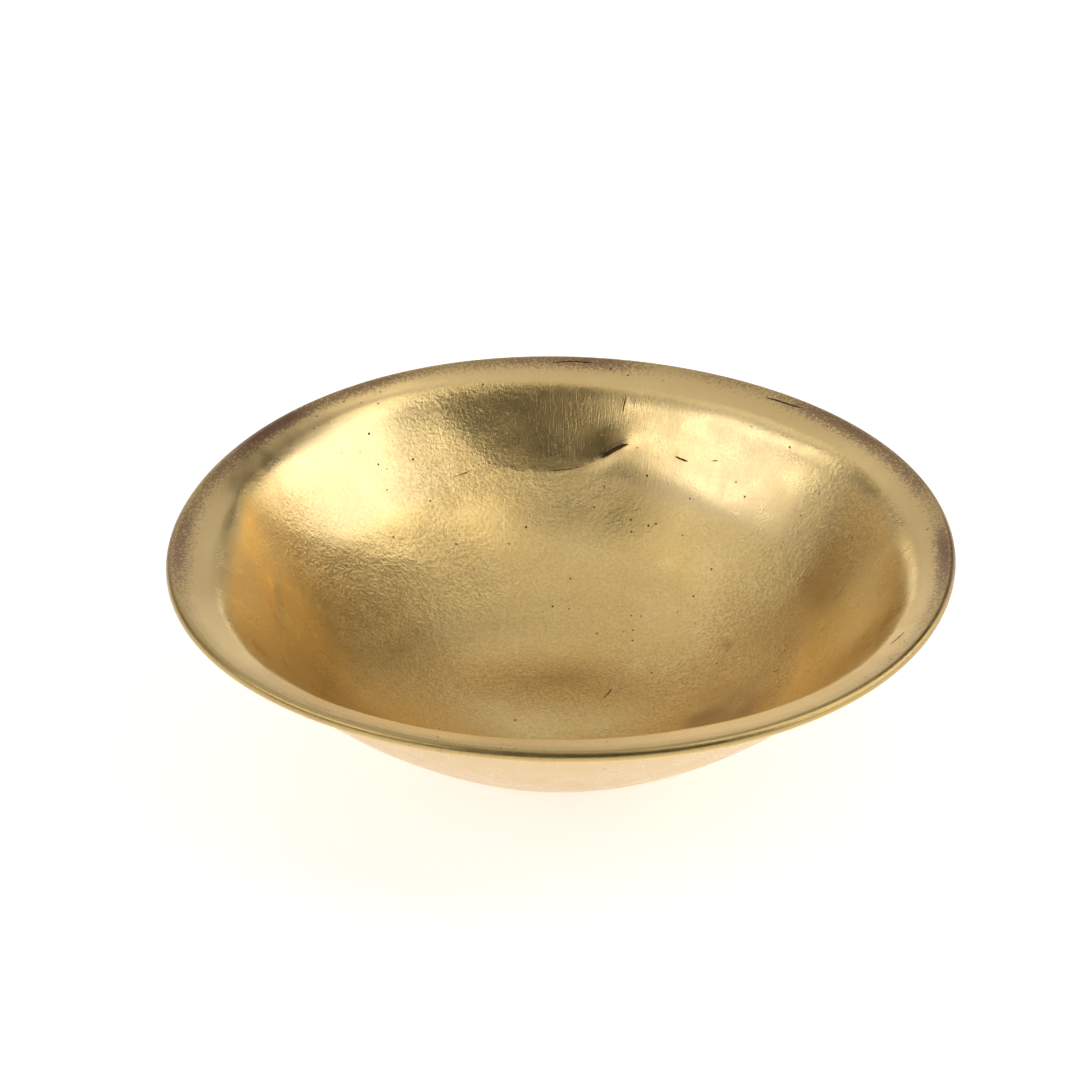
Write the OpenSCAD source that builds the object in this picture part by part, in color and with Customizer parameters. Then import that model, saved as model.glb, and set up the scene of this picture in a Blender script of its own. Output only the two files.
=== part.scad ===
// A small brass urli: a shallow, flared bowl, cast in one piece from a hand-pressed pattern.
// Millimetres, +Z up. The origin is the middle of the bowl's footprint, on the surface that it stands on.
// The whole bowl is one shell of metal about a spine curve, which runs from the middle of the floor,
// up the wall, over the shoulder and out along the sloping rim band to the lip.

/* [Bowl] */
// Diameter across the lip
bowl_d = 200; // [180:5:240]
// Height of the lip above the table
bowl_h = 52; // [46:1:60]
// Diameter of the round foot
foot_d = 74; // [60:2:84]

/* [Thickness] */
// Thickness of the wall
wall_t = 3; // [2.4:0.1:4]
// Thickness of the floor, which is heavier than the wall
floor_t = 4; // [3:0.1:5]
// Thickness of the rounded lip
lip_t = 3; // [2:0.1:3.6]

/* [Rim] */
// Width of the sloping band round the mouth
rim_w = 11; // [8:0.5:14]
// Slope of the band, which rises to the lip
rim_slope = 20; // [5:1:28]
// Slope of the wall where it meets the shoulder
wall_slope = 55; // [45:1:66]

/* [Hand work] */
// Share of the waver and the thumb dents, 0 for a true turned bowl
hand_made = 1; // [0:0.1:1]

/* [Mesh] */
// Facets round the bowl
facets = 72; // [48:4:88]
// Steps along the wall's curve
wall_steps = 14; // [8:1:18]

/* [Hidden] */
brass = [0.80, 0.66, 0.38];

// Depth ground off the underside to make the foot flat
grind = 0.8;
// Reach inside the foot's edge at which the floor starts to turn up
foot_edge = 4;
// Length of the straight pull of the wall's curve above the foot and below the neck
foot_pull = 6;
neck_pull = 24;
// Length of the rounded shoulder, down the wall and out along the band
shoulder = 5;
floor_steps = 4;
shoulder_steps = 4;
band_steps = 2;
lip_steps = 6;

// The spine's driving points, as [radius, height]
floor_mid = [0, (floor_t - grind) / 2];
lip_mid = [bowl_d / 2 - lip_t / 2, bowl_h - lip_t / 2];
band_dir = [cos(rim_slope), sin(rim_slope)];
wall_dir = [cos(wall_slope), sin(wall_slope)];
mouth_r = bowl_d / 2 - rim_w;
mouth = [mouth_r, lip_mid.y - (lip_mid.x - mouth_r) * tan(rim_slope)];
neck = mouth - shoulder * wall_dir;
band_start = mouth + shoulder / 2 * band_dir;
wall_start = [foot_d / 2 - foot_edge, floor_mid.y];

// Slow wavers in the outline, as [lobes, reach, azimuth of one lobe]: at the lip, and at the mouth
lip_lobes = [[3, 0.7, -25], [4, 0.6, 30]];
mouth_lobes = [[2, 0.8, -44], [3, 1.5, -8], [4, 1.1, 38]];

// Marks pressed into the pattern, as [azimuth, radius, height, half width, half height, depth].
// A mark with a negative depth is a swelling into the bowl.
dents = [
    [111, 82, 40, 12, 14, 1.8],
    [95, 76, 30, 20, 10, 1.8],
    [75, 77, 31, 16, 10, 1.8],
    [50, 76, 29, 18, 10, 1.6],
    [158, 80, 38, 14, 14, 1.6],
    [135, 64, 20, 20, 10, 1.2],
    [24, 80, 38, 18, 20, 1.2],
    [136, 78, 36, 16, 14, -0.7],
    [-4, 74, 26, 18, 16, -0.9],
    [-172, 80, 34, 16, 14, -1.0],
    [-60, 78, 32, 24, 16, -0.8],
    [-120, 76, 30, 24, 16, -0.4]
];
// Share of each mark that shows through on the outside
show_through = 0.6;
// Height of the low mound in the floor, its radius, and how far it lies from the middle, towards the front
mound_h = 1.8;
mound_r = 15;
mound_off = 11;
// The inside runs in one easy curve from floor to wall, so the metal is thicker above the foot's edge:
// the greatest extra thickness, the radius where it is, and its half width
heel_t = 3.3;
heel_r = foot_d / 2 + 5;
heel_w = 14;

function total(list) = len(list) == 0 ? 0 : [for (v = list) 1] * list;
function smooth(t) = let (u = max(0, min(1, t))) u * u * (3 - 2 * u);
function unit(v) = v / norm(v);
function bell(x) = exp(-x * x);
function bezier3(p, t) =
    pow(1 - t, 3) * p[0] + 3 * t * pow(1 - t, 2) * p[1] + 3 * t * t * (1 - t) * p[2] + pow(t, 3) * p[3];
function bezier2(p, t) = pow(1 - t, 2) * p[0] + 2 * t * (1 - t) * p[1] + t * t * p[2];

wall_curve = [wall_start, wall_start + [2 * foot_pull, 0], neck - neck_pull * wall_dir, neck];
spine = concat(
    [for (i = [0:floor_steps - 1]) floor_mid + (wall_start - floor_mid) * i / floor_steps],
    [for (i = [0:wall_steps - 1]) bezier3(wall_curve, i / wall_steps)],
    [for (i = [0:shoulder_steps - 1]) bezier2([neck, mouth, band_start], i / shoulder_steps)],
    [for (i = [0:band_steps]) band_start + (lip_mid - band_start) * i / band_steps]
);
last = len(spine) - 1;

// The spine's direction, and the way from its underside to its upper side, at point i
function along(i) = i == 0 ? [1, 0] : i == last ? band_dir : unit(spine[i + 1] - spine[i - 1]);
function upward(i) = [-along(i).y, along(i).x];

// Thickness at a radius: heavy in the floor, even in the wall, and thinner towards the lip
floor_full_t = floor_t + grind;
function thickness(r) =
    r < neck.x
        ? floor_full_t + (wall_t - floor_full_t) * smooth((r - wall_start.x) / (2 * foot_pull))
        : wall_t + (lip_t - wall_t) * smooth((r - neck.x) / (lip_mid.x - neck.x));

// How far the outline wavers at a point of the spine: by the mouth's lobes up to the mouth,
// then by the lip's
function lobes(list, a) = total([for (l = list) l[1] * cos(l[0] * (a - l[2]))]);
function waver(p, a) =
    let (out = smooth((p.x - mouth.x) / (lip_mid.x - mouth.x)), up = smooth(p.y / mouth.y))
    hand_made * (out * lobes(lip_lobes, a) + (1 - out) * up * lobes(mouth_lobes, a));

// How far the marks press the inside outwards at a point of the spine
function turn(a, b) = let (d = a - b) d - 360 * round(d / 360);
function dent(p, a) =
    hand_made * total([for (d = dents)
        d[5] * bell(d[1] * turn(a, d[0]) * PI / 180 / d[3]) * bell(norm(p - [d[1], d[2]]) / d[4])]);
function mound(p, a) = hand_made * mound_h * bell(norm([p.x * cos(a), p.x * sin(a) + mound_off]) / mound_r);
function heel(p) = heel_t * bell((p.x - heel_r) / heel_w);

// A point of the shell, off the spine at point i by a share of the thickness:
// 0.5 is the inside, -0.5 the outside
function place(r, a, z) = [r * cos(a), r * sin(a), z];
function shell(i, share, a) =
    let (
        p = spine[i],
        inner = share > 0,
        pressed = (inner ? 1 : show_through) * dent(p, a),
        added = inner ? heel(p) + mound(p, a) : 0,
        q = p + upward(i) * (share * thickness(p.x) + added - pressed)
    )
    place(q.x + waver(p, a), a, q.y);

// A point of the half-round lip, from its underside at turn 0 to its upper side at turn 180
function lip(turned, a) =
    let (q = lip_mid + lip_t / 2 * (sin(turned) * band_dir - cos(turned) * upward(last)))
    place(q.x + waver(lip_mid, a), a, q.y);

// Rings of points, from round the middle of the underside, over the lip, to round the middle of the floor
azimuths = [for (k = [0:facets - 1]) 360 * k / facets];
rings = concat(
    [for (i = [1:last - 1]) [for (a = azimuths) shell(i, -0.5, a)]],
    [for (k = [0:lip_steps]) [for (a = azimuths) lip(180 * k / lip_steps, a)]],
    [for (i = [last - 1:-1:1]) [for (a = azimuths) shell(i, 0.5, a)]]
);
raw_points = concat([for (ring = rings) each ring], [shell(0, -0.5, 0), shell(0, 0.5, 0)]);

// The middle of the footprint, which becomes the origin
xs = [for (p = raw_points) p.x];
ys = [for (p = raw_points) p.y];
footprint_mid = [(min(xs) + max(xs)) / 2, (min(ys) + max(ys)) / 2, 0];
points = [for (p = raw_points) p - footprint_mid];

// The faces: two triangles for each cell between rings, and a fan at each end
n = facets;
ring_count = len(rings);
under_mid = n * ring_count;
floor_top = under_mid + 1;
function index(ring, k) = ring * n + k % n;
cells = [for (r = [0:ring_count - 2], k = [0:n - 1])
    each [
        [index(r, k), index(r + 1, k), index(r + 1, k + 1)],
        [index(r, k), index(r + 1, k + 1), index(r, k + 1)]
    ]];
under_fan = [for (k = [0:n - 1]) [under_mid, index(0, k), index(0, k + 1)]];
floor_fan = [for (k = [0:n - 1]) [floor_top, index(ring_count - 1, k + 1), index(ring_count - 1, k)]];

module cast_shell() {
    polyhedron(points = points, faces = concat(cells, under_fan, floor_fan), convexity = 6);
}

// The casting, with its underside ground flat where it stands
module bowl() {
    color(brass)
    difference() {
        cast_shell();
        translate([-bowl_d, -bowl_d, -10]) cube([2 * bowl_d, 2 * bowl_d, 10]);
    }
}

bowl();
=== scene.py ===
"""A brass urli: the hand-finished look of the bowl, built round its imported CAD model."""
import math

import bpy
import numpy as np
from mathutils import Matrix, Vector


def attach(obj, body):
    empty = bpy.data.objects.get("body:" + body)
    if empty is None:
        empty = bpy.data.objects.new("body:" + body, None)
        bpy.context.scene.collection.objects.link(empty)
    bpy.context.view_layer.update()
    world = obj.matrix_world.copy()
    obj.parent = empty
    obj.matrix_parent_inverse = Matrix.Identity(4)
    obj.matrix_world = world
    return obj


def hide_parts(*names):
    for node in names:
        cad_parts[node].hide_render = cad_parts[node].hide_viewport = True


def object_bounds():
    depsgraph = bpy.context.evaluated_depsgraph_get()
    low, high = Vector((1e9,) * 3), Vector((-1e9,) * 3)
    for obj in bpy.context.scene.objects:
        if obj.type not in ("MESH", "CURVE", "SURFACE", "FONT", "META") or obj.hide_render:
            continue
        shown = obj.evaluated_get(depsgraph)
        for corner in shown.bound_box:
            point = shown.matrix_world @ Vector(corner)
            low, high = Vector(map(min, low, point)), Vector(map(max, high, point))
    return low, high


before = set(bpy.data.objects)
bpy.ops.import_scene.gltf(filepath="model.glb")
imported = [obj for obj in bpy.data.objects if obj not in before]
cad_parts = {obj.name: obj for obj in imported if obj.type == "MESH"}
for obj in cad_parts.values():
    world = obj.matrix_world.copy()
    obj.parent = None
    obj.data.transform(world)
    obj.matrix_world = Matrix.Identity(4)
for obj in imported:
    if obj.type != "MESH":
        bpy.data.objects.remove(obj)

cad_low, cad_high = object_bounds()
MM = 0.001

# ---------------------------------------------------------------- sizes, in millimetres and degrees
BOWL_D = 200.0
BOWL_H = 52.0
FOOT_R = 37.0
WALL_T = 3.0
FLOOR_T = 4.0
LIP_T = 3.0
RIM_W = 11.0
RIM_SLOPE = 20.0
WALL_SLOPE = 55.0
GRIND = 0.8
FOOT_EDGE = 4.0
FOOT_PULL = 6.0
NECK_PULL = 24.0
SHOULDER = 4.5
HEEL_T = 3.3
HEEL_R = 42.0
HEEL_W = 14.0
MOUND_H = 2.2
MOUND_R = 15.0
MOUND_Y = -11.0

# Facets round the bowl, and steps along the spine's four stretches
ROUND = 760
FLOOR_STEPS = 36
WALL_STEPS = 112
SHOULDER_STEPS = 18
BAND_STEPS = 16
LIP_STEPS = 12
# Rings from the middle over which the floor eases into the wall, and how often they are averaged
EASED = 110
EASE = 70
# The outside has one ring for this many of the inside's
OUTSIDE_SKIP = 3

# Slow wavers in the outline, as (lobes, reach, azimuth of one lobe)
LIP_LOBES = ((3, 0.7, -25), (4, 0.6, 30))
MOUTH_LOBES = ((2, 0.8, -44), (3, 1.5, -8), (4, 1.1, 38))

# Broad swells of the wall, as (azimuth, distance up the inside, half width, half height, depth outwards)
SWELLS = (
    (136, 86, 22, 18, -0.7),
    (-3, 78, 18, 18, -0.9),
    (186, 90, 17, 16, -1.0),
    (-60, 86, 26, 18, -0.8),
    (-120, 84, 26, 18, -0.4),
)

# Creases pressed outwards between the flatter faces of the wall, as (depth, reach to the side that is
# on the left going along the path, reach to the other side, path of (azimuth, distance up) points)
PRESSED = (
    (2.4, 9, 24, (
        (113, 104), (110, 93), (105, 84), (99, 80.5), (92, 80), (86, 82), (81, 84),
        (75, 83), (69, 80.5), (62, 79), (53, 78.3), (45, 79), (36, 80),
    )),
    (2.1, 14, 26, ((164, 107), (158, 93), (151, 80), (142, 70), (131, 62), (117, 55))),
    (1.3, 26, 15, ((29, 110), (25, 92), (20, 76), (13, 58))),
)
SHOW_THROUGH = 0.6


def bell(x):
    return np.exp(-x * x)


def smooth(t):
    t = np.clip(t, 0.0, 1.0)
    return t * t * (3.0 - 2.0 * t)


def window(x, low, high, soft):
    """1 between low and high, and 0 outside them, with soft edges."""
    return smooth((x - low) / soft + 0.5) * smooth((high - x) / soft + 0.5)


def turn(azimuth, centre):
    """Degrees from centre to azimuth, the short way round."""
    return (azimuth - centre + 180.0) % 360.0 - 180.0


def direction(degrees):
    return np.array([math.cos(math.radians(degrees)), math.sin(math.radians(degrees))])


def bezier(points, count):
    """count points of a Bezier curve of 3 or 4 points, without its last."""
    t = (np.arange(count) / count)[:, None]
    if len(points) == 3:
        weights = ((1 - t) ** 2, 2 * t * (1 - t), t**2)
    else:
        weights = ((1 - t) ** 3, 3 * t * (1 - t) ** 2, 3 * t * t * (1 - t), t**3)
    return sum(w * p for w, p in zip(weights, points))


def soft_noise(points, size, seed):
    """Smooth random values from -1 to 1 at the points, changing over about size."""
    rng = np.random.default_rng(seed)
    spots = points / size
    spots = spots - spots.reshape(-1, 3).min(axis=0)
    cells = np.floor(spots).astype(int)
    part = smooth(spots - cells)
    lattice = rng.uniform(-1.0, 1.0, tuple(cells.reshape(-1, 3).max(axis=0) + 2))
    value = 0.0
    for corner in np.ndindex(2, 2, 2):
        corner = np.array(corner)
        weight = np.prod(np.where(corner == 1, part, 1.0 - part), axis=-1)
        at = cells + corner
        value = value + weight * lattice[at[..., 0], at[..., 1], at[..., 2]]
    return value


# ---------------------------------------------------------------- the spine curve
floor_mid = np.array([0.0, (FLOOR_T - GRIND) / 2])
lip_mid = np.array([BOWL_D / 2 - LIP_T / 2, BOWL_H - LIP_T / 2])
band_dir = direction(RIM_SLOPE)
wall_dir = direction(WALL_SLOPE)
mouth_r = BOWL_D / 2 - RIM_W
mouth = np.array([mouth_r, lip_mid[1] - (lip_mid[0] - mouth_r) * math.tan(math.radians(RIM_SLOPE))])
neck = mouth - SHOULDER * wall_dir
band_start = mouth + SHOULDER / 2 * band_dir
wall_start = np.array([FOOT_R - FOOT_EDGE, floor_mid[1]])
wall_curve = (wall_start, wall_start + [2 * FOOT_PULL, 0], neck - NECK_PULL * wall_dir, neck)


def straight(start, end, count):
    return start + (end - start) * (np.arange(count) / count)[:, None]


spine = np.vstack([
    straight(floor_mid, wall_start, FLOOR_STEPS),
    bezier(wall_curve, WALL_STEPS),
    bezier((neck, mouth, band_start), SHOULDER_STEPS),
    straight(band_start, lip_mid, BAND_STEPS),
    lip_mid[None, :],
])
# The casting's floor eases into the wall
for _ in range(EASE):
    spine[1:EASED] = (spine[: EASED - 1] + 2.0 * spine[1:EASED] + spine[2 : EASED + 1]) / 4.0
along = np.gradient(spine, axis=0)
along /= np.linalg.norm(along, axis=1)[:, None]
along[0] = (1, 0)
along[-1] = band_dir
upward = np.stack([-along[:, 1], along[:, 0]], axis=-1)
spine_r = spine[:, 0]
full_floor = FLOOR_T + GRIND
thin_floor = full_floor + (WALL_T - full_floor) * smooth((spine_r - wall_start[0]) / (2 * FOOT_PULL))
thin_rim = WALL_T + (LIP_T - WALL_T) * smooth((spine_r - neck[0]) / (lip_mid[0] - neck[0]))
thickness = np.where(spine_r < neck[0], thin_floor, thin_rim)

# The inside runs in one easy curve from floor to wall, so the metal is thicker above the foot's edge
heel = HEEL_T * bell((spine_r - HEEL_R) / HEEL_W)

# Distance up the inside from the middle of the floor, for each point of the spine
inside_curve = spine + upward * (thickness / 2 + heel)[:, None]
steps = np.linalg.norm(np.diff(inside_curve, axis=0), axis=1)
reach = np.concatenate([[0.0], np.cumsum(steps)])

azimuth = 360.0 * np.arange(ROUND) / ROUND
AZ = azimuth[None, :]
S = reach[:, None]
R = inside_curve[:, 0][:, None]


def across(centre):
    """Millimetres sideways from an azimuth, over the grid of the inside."""
    return np.radians(turn(AZ, centre)) * R


def lobes(listed):
    return sum(size * np.cos(np.radians(count * (azimuth - phase))) for count, size, phase in listed)


out_share = smooth((spine_r - mouth[0]) / (lip_mid[0] - mouth[0]))
up_share = smooth(spine[:, 1] / mouth[1])
waver = out_share[:, None] * lobes(LIP_LOBES) + ((1 - out_share) * up_share)[:, None] * lobes(MOUTH_LOBES)


def stroke(path, near=12.0):
    """Each grid point's distance from a path of (azimuth, distance up) points, its side and place on it."""
    middle = path[len(path) // 2][0]
    x = across(middle)
    y = S + 0.0 * x
    at = [(math.radians(turn(a, middle)) * np.interp(s, reach, inside_curve[:, 0]), s) for a, s in path]
    best = np.full(x.shape, near)
    side = np.zeros(x.shape)
    share = np.zeros(x.shape)
    count = len(at) - 1
    for i in range(count):
        (x0, y0), (x1, y1) = at[i], at[i + 1]
        dx, dy = x1 - x0, y1 - y0
        length2 = dx * dx + dy * dy
        t = np.clip(((x - x0) * dx + (y - y0) * dy) / length2, 0.0, 1.0)
        away = np.hypot(x - x0 - t * dx, y - y0 - t * dy)
        closer = away < best
        best = np.where(closer, away, best)
        side = np.where(closer, np.sign((y - y0) * dx - (x - x0) * dy), side)
        share = np.where(closer, (i + t) / count, share)
    return best, side, share


# ---------------------------------------------------------------- marks on the inside
def soften(values, passes):
    """The grid with its corners rounded off, by repeated averaging with the neighbours."""
    for _ in range(passes):
        values = (np.roll(values, 1, axis=1) + 2.0 * values + np.roll(values, -1, axis=1)) / 4.0
        padded = np.concatenate([values[:1], values, values[-1:]])
        values = (padded[:-2] + 2.0 * values + padded[2:]) / 4.0
    return values


def pressed_creases():
    total = np.zeros((len(spine), ROUND))
    for depth, left_reach, right_reach, path in PRESSED:
        away, side, share = stroke(path, near=60.0)
        reach_there = np.where(side > 0, left_reach, right_reach)
        ends = smooth(share * 5.0 + 0.3) * smooth((1.0 - share) * 4.0)
        total = total + depth * ends * np.exp(-away / reach_there)
    return soften(total, 36) * window(S, 20.0, 109.0, 10.0)


def broad_marks():
    total = 0.0
    for centre, height, half_w, half_h, depth in SWELLS:
        total = total + depth * bell(across(centre) / half_w) * bell((S - height) / half_h)
    return total


shape_out = broad_marks() + pressed_creases()

# The dark gash at the right end of the pressed niche, and the tuck of metal that it lies in
gash_d, gash_side, gash_t = stroke(((82, 84.6), (80.6, 86), (78.9, 88), (77, 89.5), (74.6, 90.4)))
gash_taper = smooth(gash_t * 4.0) * smooth((1.0 - gash_t) * 3.0)
tuck_d, tuck_side, tuck_t = stroke(((88, 81.5), (83.5, 83.8), (79, 87.8), (76, 90), (70, 91.2)))
tuck_taper = smooth(tuck_t * 1.8) * smooth((1.0 - tuck_t) * 1.8)
tuck = soften(1.5 * tuck_taper * np.where(tuck_side < 0, bell(tuck_d / 5.0), bell(tuck_d / 2.0)), 5)

# The faint ledge along the foot of the niche
ledge_path = ((114, 80), (109.8, 81.2), (105.5, 82.6), (99, 80.8), (92, 80.4), (87, 81.4), (84, 82.7))
ledge_d, _, ledge_t = stroke(ledge_path)
ledge = smooth(ledge_t * 5.0) * smooth((1.0 - ledge_t) * 6.0) * 0.15 * bell(ledge_d / 1.0)

# A fold in the left wall
fold_d, _, fold_t = stroke(((171, 86), (176, 85), (180, 83.8), (184, 83), (186.5, 81), (188, 76)))
fold = smooth(fold_t * 4.0) * smooth((1.0 - fold_t) * 4.0) * 0.35 * bell(fold_d / 2.2)

# Fine cracks and scratches, as (half width, path)
CRACKS = (
    (0.25, ((66.5, 88.8), (65, 88.5), (63.6, 88.2), (61.8, 88.1))),
    (0.10, ((58.5, 89.6), (57, 90.2), (55.8, 90.5))),
    (0.55, ((82, 84.4), (80.6, 86), (78.9, 88), (77, 89.5), (74.6, 90.4))),
    (0.12, ((94.5, 80.6), (91.7, 80.4), (88, 81.1), (85.5, 82), (83.6, 83))),
    (0.10, ((114.5, 80.1), (112, 80.6), (109.8, 81.2), (106, 82.6))),
    (0.20, ((77.4, 105.5), (77.7, 101), (77.9, 96.5))),
    (0.14, ((84.8, 103.8), (85.5, 101), (86, 98.5))),
    (0.14, ((81.8, 92.4), (81.5, 91))),
    (0.24, ((351, 56.8), (350.3, 58.6), (350.6, 60.6))),
    (0.20, ((321, 13.2), (338, 12.6), (356, 13.2), (7.5, 14.9))),
    (0.30, ((55, 111.5), (51.5, 112.2), (48, 112.4), (43.4, 113.6))),
    (0.22, ((93, 112.2), (88, 113.2), (81, 112.8))),
    (0.26, ((327, 107.3), (330, 108.3), (333.5, 109.6))),
    (0.12, ((8, 84), (5.5, 80), (4, 75))),
    (0.12, ((-2, 76), (-4, 70))),
)
crack_d = np.full(shape_out.shape, 4.0)
crack_half = np.full(shape_out.shape, -1.0)
for half_width, path in CRACKS:
    d, side, t = stroke(path, near=1.6)
    fade = smooth(t * 3.0) * smooth((1.0 - t) * 3.0)
    closer = (d < 1.5) & (d < np.abs(crack_d))
    crack_d = np.where(closer, d * np.where(side == 0, 1, side), crack_d)
    crack_half = np.where(closer, (half_width + 0.3) * fade - 0.3, crack_half)
cracks = 0.3 * np.maximum(crack_half, 0.0) * bell(crack_d / 0.8)

plan_x = R * np.cos(np.radians(AZ))
plan_y = R * np.sin(np.radians(AZ))
flat_places = np.stack([plan_x, plan_y, inside_curve[:, 1][:, None] + 0.0 * AZ], axis=-1)
mound = MOUND_H * bell(np.hypot(plan_x / 1.5, plan_y - MOUND_Y) / MOUND_R)

# Where the casting's leathery skin is left, from 0 where it is polished away to 1
skin = 0.30 + 0.25 * soft_noise(flat_places, 16.0, 11)
skin = skin + 0.75 * bell(across(108) / 26.0) * window(S, 72, 108, 10)
skin = skin + 0.65 * bell(across(150) / 30.0) * window(S, 48, 96, 14)
skin = skin + 0.60 * bell(across(128) / 22.0) * window(S, 40, 66, 14)
skin = skin + 0.55 * bell(across(18) / 17.0) * window(S, 44, 104, 12)
skin = skin + 0.60 * bell(across(-30) / 34.0) * window(S, 26, 66, 12)
skin = skin + 0.85 * bell(np.hypot(plan_x / 28.0, (plan_y - 2.0) / 13.0))
skin = skin - 0.70 * bell(across(86) / 14.0) * window(S, 84, 106, 6)
skin = skin - 0.75 * bell(across(135) / 22.0) * window(S, 72, 106, 8)
skin = skin - 0.75 * bell(across(54) / 26.0) * window(S, 76, 108, 8)
skin = skin - 0.70 * bell(across(186) / 24.0) * window(S, 66, 106, 8)
skin = skin - 0.60 * bell(across(-8) / 20.0) * window(S, 66, 106, 8)
on_band = smooth((S - 104.5) / 3.0) + 0.0 * AZ
skin = np.clip(skin * (1.0 - 0.65 * on_band), 0.04, 1.0)

# The skin's own relief: wrinkles of 2 to 6 mm
wrinkle = 0.05 * soft_noise(flat_places, 1.9, 21) + 0.035 * soft_noise(flat_places, 4.2, 22)
relief = skin * wrinkle + 0.16 * soft_noise(flat_places, 14.0, 23) * smooth(S / 30.0)

outward = shape_out + tuck + ledge + fold + cracks
inside_lift = (thickness / 2 + heel)[:, None] - outward + relief + mound
outside_lift = -(thickness / 2)[:, None] - SHOW_THROUGH * shape_out
outside_lift = outside_lift + 0.12 * soft_noise(flat_places, 18.0, 31)


def surface(lift):
    """Grid points of the shell, at their lift above the spine."""
    r = spine[:, 0][:, None] + upward[:, 0][:, None] * lift + waver
    z = spine[:, 1][:, None] + upward[:, 1][:, None] * lift
    angle = np.radians(AZ)
    return np.stack([r * np.cos(angle), r * np.sin(angle), z], axis=-1)


inside = surface(inside_lift)
outside = surface(outside_lift)
outside[..., 2] = np.maximum(outside[..., 2], 0.0)

turned = np.pi * np.arange(1, LIP_STEPS) / LIP_STEPS
lip_plan = lip_mid + LIP_T / 2 * (np.sin(turned)[:, None] * band_dir - np.cos(turned)[:, None] * upward[-1])
lip_angle = np.radians(AZ)
lip_r = lip_plan[:, 0][:, None] + lobes(LIP_LOBES)[None, :]
lip_ring = np.stack(
    [lip_r * np.cos(lip_angle), lip_r * np.sin(lip_angle), lip_plan[:, 1][:, None] + 0.0 * lip_r], axis=-1
)

# ---------------------------------------------------------------- one closed mesh
last = len(spine) - 1
outside_rows = list(range(OUTSIDE_SKIP, last, OUTSIDE_SKIP)) + [last]
inside_rows = list(range(last, 0, -1))
rings = np.concatenate([outside[outside_rows], lip_ring, inside[inside_rows]])
ring_count = len(rings)
under_mid = np.array([[0.0, 0.0, 0.0]])
floor_top = inside[0, :1]
points = np.concatenate([rings.reshape(-1, 3), under_mid, floor_top])

# The finished bowl fills its CAD box exactly
low, high = points.min(axis=0), points.max(axis=0)
box_low, box_high = np.array(cad_low), np.array(cad_high)
points = box_low + (points - low) / (high - low) * (box_high - box_low)

ring = np.arange(ring_count - 1)[:, None] * ROUND
column = np.arange(ROUND)[None, :]
following = (column + 1) % ROUND
quads = np.stack([ring + column, ring + following, ring + ROUND + following, ring + ROUND + column], axis=-1)
under = ring_count * ROUND
k = np.arange(ROUND)
k_next = (k + 1) % ROUND
under_fan = np.stack([np.full(ROUND, under), k_next, k], axis=-1)
top_row = (ring_count - 1) * ROUND
floor_fan = np.stack([np.full(ROUND, under + 1), top_row + k, top_row + k_next], axis=-1)
faces = quads.reshape(-1, 4).tolist() + under_fan.tolist() + floor_fan.tolist()

mesh = bpy.data.meshes.new("bowl_cast")
mesh.from_pydata(points.tolist(), [], faces)
mesh.validate()
mesh.update()
mesh.polygons.foreach_set("use_smooth", np.ones(len(mesh.polygons), dtype=bool))
bowl = bpy.data.objects.new("bowl_cast", mesh)
bpy.context.scene.collection.objects.link(bowl)


def whole(inner, outer=0.0, lip=0.0):
    """A value for every vertex, from a grid over the inside and plain values for the outside and the lip."""
    inner = np.broadcast_to(inner, shape_out.shape)
    outer = np.broadcast_to(outer, shape_out.shape)
    lip = np.broadcast_to(lip, (len(lip_ring), ROUND))
    rows = np.concatenate([outer[outside_rows], lip, inner[inside_rows]])
    return np.concatenate([rows.ravel(), [outer[0, 0], inner[0, 0]]])


def mask(name, values):
    made = mesh.attributes.new(name, "FLOAT", "POINT")
    made.data.foreach_set("value", values.astype(np.float32))


# ---------------------------------------------------------------- where each finish, painted shade and painted highlight lies
rim_noise = soft_noise(flat_places, 22.0, 41)
rim_edge = smooth((S - 107.0) / 6.5)
back_share = 0.30 + 0.70 * smooth((np.cos(np.radians(AZ - 75)) + 0.45) / 1.1)
side_share = 0.75 * bell(turn(AZ, 182) / 26.0)
patina = rim_edge * np.clip(np.maximum(back_share, side_share) * (0.75 + 0.6 * rim_noise), 0.0, 1.0)
lip_patina = patina[-1:, :] * 0.8
brown = 0.75 * bell(across(-28) / 19.0) * window(S, 36, 60, 14)
brown = brown + 0.55 * bell(across(15) / 2.2) * bell((S - 46.7) / 1.8)
brown = brown + 0.35 * bell(across(12) / 14.0) * window(S, 52, 84, 12)
brown = brown + 0.34 * bell(plan_x / 21.0) * bell((plan_y - 5.0 + plan_x**2 / 80.0) / 6.5)
brown = np.clip(brown * (0.8 + 0.5 * soft_noise(flat_places, 6.0, 42)), 0.0, 1.0)
# Darker amber-brown: painted shade in the niche, and on the left and right walls partly the metal's own
# brown, partly painted shade
niche_shade_brown = 0.6 * bell(across(98) / 20.0) * window(S, 80, 106, 6)
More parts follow.
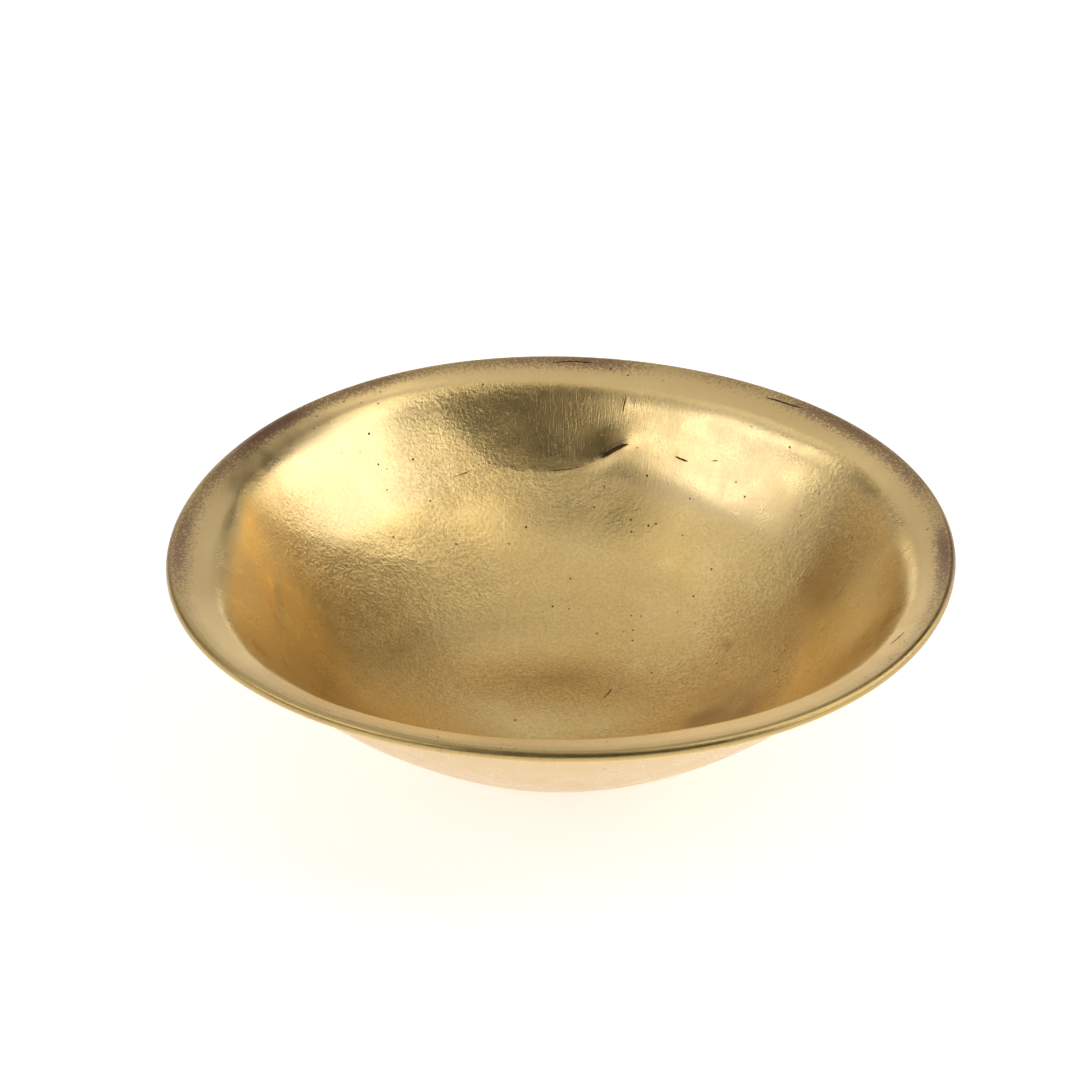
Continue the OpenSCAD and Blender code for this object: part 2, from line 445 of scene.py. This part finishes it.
# Paler brass where the two broad highlights fall: partly polished metal, partly a painted highlight that
# makes them look creamy
polish_and_painted_highlight = window(S, 76, 105, 8) * (bell(turn(AZ, 134) / 19.0) + bell(turn(AZ, 53) / 21.0))
amber_and_painted_shade = niche_shade_brown + bell(across(188) / 28.0) * window(S, 62, 105, 10)
amber_and_painted_shade = amber_and_painted_shade + 0.35 * bell(across(0) / 20.0) * window(S, 70, 105, 10)
pits = 0.15 + 0.5 * window(S, 20, 90, 20) * bell(turn(AZ, 55) / 50.0)
pits = pits + 0.9 * bell(across(129.5) / 6.0) * bell((S - 86.5) / 4.5) + 0.5 * on_band * back_share
brushed = bell(across(93) / 26.0) * window(S, 82, 107, 6)
brushed = brushed + 0.8 * bell(across(54) / 22.0) * window(S, 78, 106, 8)
brushed = brushed + 0.7 * bell(across(186) / 22.0) * window(S, 66, 106, 8)
# Painted shade in the gash and over the tucked metal just above it
gash_painted_shade = np.clip(gash_taper * bell(gash_d / np.where(gash_side < 0, 2.2, 0.7)), 0.0, 1.0)

# Painted shade on the lip: darkest over its outer face, fading on to the band, and clear underneath
lip_turn = np.degrees(turned)[:, None]
lip_shade = 0.5 + 0.5 * smooth((180.0 - lip_turn) / 50.0) - 0.9 * smooth((75.0 - lip_turn) / 45.0)

mask("skin", whole(skin, 0.10, 0.12))
mask("band", whole(on_band, 0.0, 0.3))
# Painted shade over the outer edge of the band and the lip's outer face
mask("edge", whole(0.5 * smooth((S - 110.5) / 4.0), 0.0, lip_shade))
mask("patina", whole(patina, 0.0, lip_patina))
mask("brown", whole(brown))
mask("polish_and_painted_highlight", whole(np.clip(polish_and_painted_highlight, 0, 1)))
mask("amber_and_painted_shade", whole(np.clip(amber_and_painted_shade, 0, 1)))
mask("pits", whole(np.clip(pits, 0, 1), 0.15, 0.2))
mask("brushed", whole(np.clip(brushed, 0, 1)))
mask("gash_painted_shade", whole(gash_painted_shade))
mask("crack", whole(crack_d, 4.0, 4.0))
mask("crack_half", whole(crack_half, -1.0, -1.0))
mask("round", whole(np.radians(AZ) * 90.0, np.radians(AZ) * 90.0, np.radians(AZ) * 90.0))
mask("up", whole(S + 0.0 * AZ, -S + 0.0 * AZ, 120.0))


# ---------------------------------------------------------------- the brass
def add(tree, kind, feeds=None, **settings):
    """A new node, its settings set, and its inputs fed by sockets or values."""
    made = tree.nodes.new(kind)
    for name, value in settings.items():
        setattr(made, name, value)
    for name, value in (feeds or {}).items():
        socket = made.inputs[name]
        if isinstance(value, bpy.types.NodeSocket):
            tree.links.new(value, socket)
        else:
            socket.default_value = value
    return made


def read(tree, name):
    return add(tree, "ShaderNodeAttribute", attribute_name=name, attribute_type="GEOMETRY").outputs["Fac"]


def math_node(tree, operation, a, b=0.0, c=0.0):
    return add(tree, "ShaderNodeMath", {0: a, 1: b, 2: c}, operation=operation).outputs[0]


def ramp(tree, value, low, high, to_low=0.0, to_high=1.0):
    feeds = {"Value": value, "From Min": low, "From Max": high, "To Min": to_low, "To Max": to_high}
    made = add(tree, "ShaderNodeMapRange", feeds, interpolation_type="SMOOTHSTEP", clamp=True)
    return made.outputs["Result"]


def noise(tree, where, size, detail=2.0, rough=0.5):
    """Noise from 0 to 1 with details of about that size in millimetres."""
    feeds = {"Vector": where, "Scale": 1.0 / (size * MM), "Detail": detail, "Roughness": rough}
    return add(tree, "ShaderNodeTexNoise", feeds).outputs["Fac"]


def blend(tree, share, first, second):
    node = add(tree, "ShaderNodeMix", data_type="RGBA")
    for index, value in ((0, share), (6, first), (7, second)):
        socket = node.inputs[index]
        if isinstance(value, bpy.types.NodeSocket):
            tree.links.new(value, socket)
        else:
            socket.default_value = value
    return node.outputs[2]


def rgb(r, g, b):
    return (r, g, b, 1.0)


def brass_material():
    made = bpy.data.materials.new("cast_brass")
    made.use_nodes = True
    tree = made.node_tree
    tree.nodes.clear()
    where = add(tree, "ShaderNodeTexCoord").outputs["Object"]
    skin_m, band_m, patina_m = read(tree, "skin"), read(tree, "band"), read(tree, "patina")
    brown_m, amber_shade_m, pits_m = read(tree, "brown"), read(tree, "amber_and_painted_shade"), read(tree, "pits")
    brushed_m, gash_shade_m = read(tree, "brushed"), read(tree, "gash_painted_shade")

    # Hair lines run up and down the wall
    wall_place = add(tree, "ShaderNodeCombineXYZ", {"X": read(tree, "round"), "Y": read(tree, "up")})
    stretch = {0: wall_place.outputs[0], 1: (2.8, 0.22, 1.0)}
    drawn = add(tree, "ShaderNodeVectorMath", stretch, operation="MULTIPLY").outputs[0]
    hairs = add(tree, "ShaderNodeTexNoise", {"Vector": drawn, "Scale": 1.0, "Detail": 3.0}).outputs["Fac"]

    # Dark pits: the middles of a few random cells
    cells = add(tree, "ShaderNodeTexVoronoi", {"Vector": where, "Scale": 1.0 / (2.4 * MM)})
    picked = add(tree, "ShaderNodeSeparateColor", {"Color": cells.outputs["Color"]})
    chosen = math_node(tree, "LESS_THAN", picked.outputs[0], math_node(tree, "MULTIPLY", pits_m, 0.45))
    pit_size = ramp(tree, picked.outputs[1], 0.0, 1.0, 0.05, 0.15)
    pit_near = math_node(tree, "SUBTRACT", pit_size, cells.outputs["Distance"])
    pit = math_node(tree, "MULTIPLY", chosen, ramp(tree, pit_near, -0.015, 0.05))

    # Cracks, from the distance to their paths
    crack_away = math_node(tree, "ABSOLUTE", read(tree, "crack"))
    crack_edge = math_node(tree, "SUBTRACT", read(tree, "crack_half"), crack_away)
    wander = math_node(tree, "MULTIPLY_ADD", noise(tree, where, 0.9), 0.3, -0.2)
    crack = ramp(tree, math_node(tree, "ADD", crack_edge, wander), -0.12, 0.12)

    # Colour
    broad = noise(tree, where, 28.0, 3.0)
    fine = noise(tree, where, 0.85, 3.0, 0.65)
    speck = noise(tree, where, 0.75, 2.0, 0.7)
    colour = blend(tree, ramp(tree, broad, 0.35, 0.65), rgb(0.91, 0.665, 0.275), rgb(0.88, 0.615, 0.235))
    # Paler brass under the broad highlights: partly polished metal, partly a painted highlight
    polish_and_painted_highlight = math_node(tree, "MULTIPLY", read(tree, "polish_and_painted_highlight"), 0.85)
    colour = blend(tree, polish_and_painted_highlight, colour, rgb(0.94, 0.73, 0.40))
    # Darker amber-brown: partly the metal's own tone, partly painted shade in the niche and on the side
    # walls
    colour = blend(tree, math_node(tree, "MULTIPLY", amber_shade_m, 0.75), colour, rgb(0.62, 0.44, 0.18))
    grain_share = math_node(tree, "MULTIPLY_ADD", skin_m, 0.50, 0.14)
    grain = math_node(tree, "MULTIPLY", ramp(tree, fine, 0.60, 0.36), grain_share)
    colour = blend(tree, grain, colour, rgb(0.52, 0.34, 0.13))
    outside = ramp(tree, read(tree, "up"), 0.0, -2.0, 0.0, 0.7)
    colour = blend(tree, outside, colour, rgb(0.74, 0.59, 0.38))
    colour = blend(tree, math_node(tree, "MULTIPLY", band_m, 0.6), colour, rgb(0.87, 0.64, 0.31))
    # Painted shade, olive to dark brown, over the lip's outer face
    edge = math_node(tree, "MULTIPLY", read(tree, "edge"), 0.8)
    colour = blend(tree, edge, colour, rgb(0.42, 0.30, 0.11))
    brown_share = math_node(tree, "MULTIPLY", brown_m, ramp(tree, fine, 0.2, 0.6, 0.55, 0.95))
    colour = blend(tree, brown_share, colour, rgb(0.40, 0.24, 0.10))
    specks = ramp(tree, math_node(tree, "MULTIPLY_ADD", patina_m, 0.42, speck), 0.62, 0.82)
    stain = math_node(tree, "MULTIPLY", patina_m, ramp(tree, broad, 0.3, 0.7, 0.25, 0.75))
    colour = blend(tree, stain, colour, rgb(0.62, 0.42, 0.21))
    colour = blend(tree, math_node(tree, "MULTIPLY", specks, patina_m), colour, rgb(0.25, 0.14, 0.09))
    # Painted shade in and above the gash
    colour = blend(tree, math_node(tree, "MULTIPLY", gash_shade_m, 0.75), colour, rgb(0.16, 0.09, 0.04))
    marks = math_node(tree, "MAXIMUM", pit, crack)
    colour = blend(tree, math_node(tree, "MULTIPLY", marks, 0.9), colour, rgb(0.07, 0.035, 0.02))

    # Roughness
    rough = ramp(tree, noise(tree, where, 7.0, 3.0), 0.3, 0.7, 0.25, 0.33)
    rough = math_node(tree, "MULTIPLY_ADD", skin_m, 0.05, rough)
    rough = math_node(tree, "MULTIPLY_ADD", band_m, 0.06, rough)
    rough = math_node(tree, "MULTIPLY_ADD", patina_m, 0.10, rough)
    rough = math_node(tree, "MULTIPLY_ADD", brown_m, 0.12, rough)
    rough = math_node(tree, "MULTIPLY_ADD", marks, 0.3, rough)

    # Relief in millimetres: wrinkled skin, fine grain, hair lines, pits and cracks
    wrinkles = math_node(tree, "MULTIPLY", noise(tree, where, 1.3, 3.0, 0.6), 0.20)
    wrinkles = math_node(tree, "MULTIPLY_ADD", fine, 0.16, wrinkles)
    height = math_node(tree, "MULTIPLY", wrinkles, skin_m)
    height = math_node(tree, "MULTIPLY_ADD", fine, 0.035, height)
    hair_high = math_node(tree, "MULTIPLY", hairs, math_node(tree, "MULTIPLY_ADD", brushed_m, 0.06, 0.02))
    height = math_node(tree, "ADD", height, hair_high)
    height = math_node(tree, "MULTIPLY_ADD", marks, -0.25, height)
    bump = add(tree, "ShaderNodeBump", {"Strength": 1.0, "Distance": MM, "Height": height})

    feeds = {"Metallic": 1.0, "Base Color": colour, "Roughness": rough, "Normal": bump.outputs["Normal"]}
    shader = add(tree, "ShaderNodeBsdfPrincipled", feeds)
    add(tree, "ShaderNodeOutputMaterial", {"Surface": shader.outputs[0]})
    return made


mesh.materials.append(brass_material())
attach(bowl, "root")
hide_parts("bowl")

# ---------------------------------------------------------------- the studio
FLOOR_R = 3.0
COVE_R = 0.9
COVE_STEPS = 12
FLOOR_STEPS_OUT = 15
FLOOR_GLOW = 0.55
FRONT_GLOW = 0.08
LIGHT_REACH = 1.6

# The soft lights, as (name, azimuth, elevation, width, height, glow), in degrees and metres
SOFTBOXES = (
    ("right_low", 0, 23, 1.90, 0.60, 2.00),
    ("right_mid", -6, 46, 1.00, 0.60, 1.80),
    ("right_high", -16, 66, 1.00, 0.50, 1.30),
    ("left_mid", 204, 36, 1.70, 0.62, 1.80),
    ("left_high", 184, 60, 1.50, 0.60, 0.62),
    ("back_left", 148, 42, 0.80, 0.60, 0.45),
    ("back_low", 95, 18, 1.60, 0.50, 0.68),
    ("back_mid", 100, 45, 1.50, 0.70, 0.66),
    ("overhead", 90, 80, 1.50, 1.10, 0.62),
    ("front_fill", 272, 42, 1.40, 0.70, 0.09),
)


def studio_floor():
    """A round pale floor that sweeps up into a low wall. It glows, but less towards the dark front."""
    sides = 96
    profile = [(FLOOR_R * i / FLOOR_STEPS_OUT, 0.0) for i in range(FLOOR_STEPS_OUT + 1)]
    for i in range(1, COVE_STEPS + 1):
        a = 0.5 * math.pi * i / COVE_STEPS
        profile.append((FLOOR_R + COVE_R * math.sin(a), COVE_R * (1 - math.cos(a))))
    verts = [(0.0, 0.0, 0.0)]
    angles = [2 * math.pi * j / sides for j in range(sides)]
    for r, z in profile[1:]:
        verts += [(r * math.cos(angle), r * math.sin(angle), z) for angle in angles]
    faces = [(0, 1 + j, 1 + (j + 1) % sides) for j in range(sides)]
    for i in range(len(profile) - 2):
        a = 1 + i * sides
        b = a + sides
        faces += [(a + j, b + j, b + (j + 1) % sides, a + (j + 1) % sides) for j in range(sides)]
    made = bpy.data.meshes.new("studio_floor")
    made.from_pydata(verts, [], faces)
    made.polygons.foreach_set("use_smooth", [True] * len(made.polygons))
    glow = made.attributes.new("glow", "FLOAT", "POINT")
    for i, (x, y, z) in enumerate(verts):
        glow.data[i].value = FLOOR_GLOW - (FLOOR_GLOW - FRONT_GLOW) * float(smooth((-y - 0.4) / 1.2))
    floor = bpy.data.objects.new("studio_floor", made)
    bpy.context.scene.collection.objects.link(floor)
    paint = bpy.data.materials.new("pale_paper")
    paint.use_nodes = True
    shader = paint.node_tree.nodes["Principled BSDF"]
    shader.inputs["Base Color"].default_value = rgb(0.93, 0.93, 0.93)
    shader.inputs["Roughness"].default_value = 0.9
    shader.inputs["Emission Color"].default_value = rgb(1.0, 1.0, 1.0)
    paint.node_tree.links.new(read(paint.node_tree, "glow"), shader.inputs["Emission Strength"])
    made.materials.append(paint)


def softbox(name, around, above, width, height, glow):
    """A soft light on a dome round the bowl, facing it. Its glow is its brightness as the bowl sees it."""
    turned_by = math.radians(around)
    raised_by = math.radians(above)
    flat = math.cos(raised_by)
    way = Vector((flat * math.cos(turned_by), flat * math.sin(turned_by), math.sin(raised_by)))
    data = bpy.data.lights.new(name, "AREA")
    data.shape = "RECTANGLE"
    data.size = width
    data.size_y = height
    data.energy = math.pi * width * height * glow
    lamp = bpy.data.objects.new(name, data)
    lamp.location = LIGHT_REACH * way
    lamp.rotation_euler = (-way).to_track_quat("-Z", "Y").to_euler()
    bpy.context.scene.collection.objects.link(lamp)


def light_world(strength):
    world = bpy.data.worlds.new("studio_air")
    world.use_nodes = True
    world.node_tree.nodes["Background"].inputs["Color"].default_value = rgb(1.0, 1.0, 1.0)
    world.node_tree.nodes["Background"].inputs["Strength"].default_value = strength
    bpy.context.scene.world = world


studio_floor()
light_world(0.03)
for listed in SOFTBOXES:
    softbox(*listed)

# ---------------------------------------------------------------- the camera
ELEVATION = 30.46
DISTANCE = 0.7649
AIM = (-0.00546, 0.0, 0.04953)
tilt = math.radians(ELEVATION)
camera_data = bpy.data.cameras.new("camera")
camera_data.lens = 100.0
camera_data.sensor_width = 36.0
camera = bpy.data.objects.new("camera", camera_data)
camera.location = Vector(AIM) + DISTANCE * Vector((0.0, -math.cos(tilt), math.sin(tilt)))
camera.rotation_euler = (math.radians(90.0) - tilt, 0.0, 0.0)
bpy.context.scene.collection.objects.link(camera)
bpy.context.scene.camera = camera
bpy.context.scene.view_settings.view_transform = "Standard"
